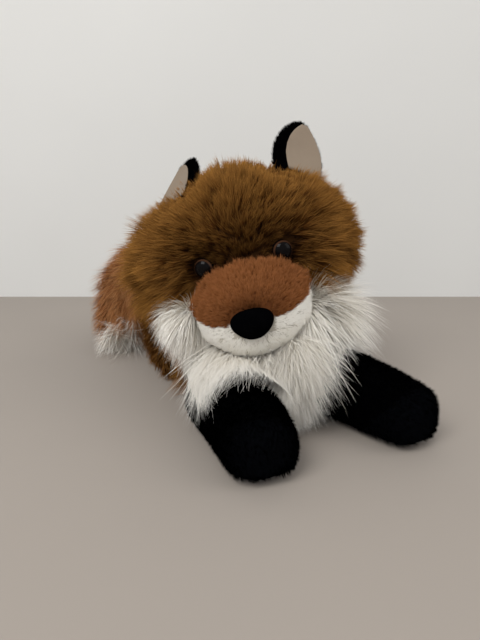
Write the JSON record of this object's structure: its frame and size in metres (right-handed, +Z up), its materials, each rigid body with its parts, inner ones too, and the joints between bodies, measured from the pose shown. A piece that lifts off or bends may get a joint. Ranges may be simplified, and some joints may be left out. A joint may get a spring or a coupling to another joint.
{
  "type": "plush fox",
  "caption": "Soft toy fox lying on its belly with its head up and turned, long fur, black legs stretched forward, legs folded behind, and a bushy tail curled beside it.",
  "frame": {"origin": "on the face that the belly rests on, straight below the neck", "axes": "+Z up, -Y towards the fox's front paws, +X towards its left side"},
  "size_m": [0.1518, 0.2983, 0.1822],
  "materials": {
    "brown_fur": "long ticked pile",
    "white_fur": "long pile",
    "rust_plush": "short pile",
    "tail_fur": "long pile",
    "black_plush": "short pile",
    "suede": "suede",
    "eye_plastic": "gloss",
    "washer_plastic": "matte",
    "stuffing": "loose fibre"
  },
  "bodies": {
    "body": {"body_cover": "brown_fur", "chest_panel": "white_fur", "body_stuffing": "stuffing"},
    "neck": {"neck_ruff": "white_fur", "nape_panel": "brown_fur", "neck_stuffing": "stuffing"},
    "head": {"head_cover": "brown_fur", "cheek_ruff": "white_fur", "head_stuffing": "stuffing", "muzzle_top": "rust_plush", "muzzle_chin": "white_fur", "muzzle_stuffing": "stuffing", "nose": "black_plush", "eye_left": "eye_plastic", "eye_right": "eye_plastic", "eye_washer_left": "washer_plastic", "eye_washer_right": "washer_plastic"},
    "ear_left": {"ear_back_left": "black_plush", "ear_face_left": "suede"},
    "ear_right": {"ear_back_right": "black_plush", "ear_face_right": "suede"},
    "front_leg_left": {"front_leg_cover_left": "black_plush", "front_paw_sole_left": "black_plush", "front_leg_stuffing_left": "stuffing"},
    "front_leg_right": {"front_leg_cover_right": "black_plush", "front_paw_sole_right": "black_plush", "front_leg_stuffing_right": "stuffing"},
    "hind_leg_left": {"hind_leg_cover_left": "brown_fur", "hind_paw_left": "black_plush", "hind_leg_stuffing_left": "stuffing"},
    "hind_leg_right": {"hind_leg_cover_right": "brown_fur", "hind_paw_right": "black_plush", "hind_leg_stuffing_right": "stuffing"},
    "tail": {"tail_cover": "tail_fur", "tail_tip": "white_fur", "tail_stuffing": "stuffing"}
  },
  "joints": [
    {"name": "neck_turn", "type": "hinge", "parent": "body", "child": "neck", "pos_m": [0, 0, 0.091], "axis": [0, 0, 1], "range_deg": [-10, 45]},
    {"name": "neck_nod", "type": "hinge", "parent": "neck", "child": "head", "pos_m": [0, 0, 0.091], "axis": [-0.9171, 0.3987, 0], "range_deg": [0, 15]},
    {"name": "ear_left_fold", "type": "hinge", "parent": "head", "child": "ear_left", "pos_m": [0.03358, -0.01465, 0.14436], "axis": [0.938, -0.1403, -0.3168], "range_deg": [-15, 25], "stiffness_Nm_per_rad": 0.01},
    {"name": "ear_right_fold", "type": "hinge", "parent": "head", "child": "ear_right", "pos_m": [-0.04689, 0.0224, 0.12783], "axis": [0.4911, -0.5278, 0.693], "range_deg": [-15, 25], "stiffness_Nm_per_rad": 0.01},
    {"name": "front_leg_left_swing", "type": "hinge", "parent": "body", "child": "front_leg_left", "pos_m": [0.033, -0.048, 0], "axis": [0, 0, 1], "range_deg": [-16, 24]},
    {"name": "front_leg_right_swing", "type": "hinge", "parent": "body", "child": "front_leg_right", "pos_m": [-0.033, -0.048, 0], "axis": [0, 0, -1], "range_deg": [-16, 24]},
    {"name": "hind_leg_left_swing", "type": "hinge", "parent": "body", "child": "hind_leg_left", "pos_m": [0.027, 0.104, 0], "axis": [0, 0, 1], "range_deg": [0, 18]},
    {"name": "hind_leg_right_swing", "type": "hinge", "parent": "body", "child": "hind_leg_right", "pos_m": [-0.027, 0.104, 0], "axis": [0, 0, -1], "range_deg": [0, 18]},
    {"name": "tail_swing", "type": "hinge", "parent": "body", "child": "tail", "pos_m": [-0.004, 0.109, 0], "axis": [0, 0, 1], "range_deg": [-60, 0]}
  ]
}
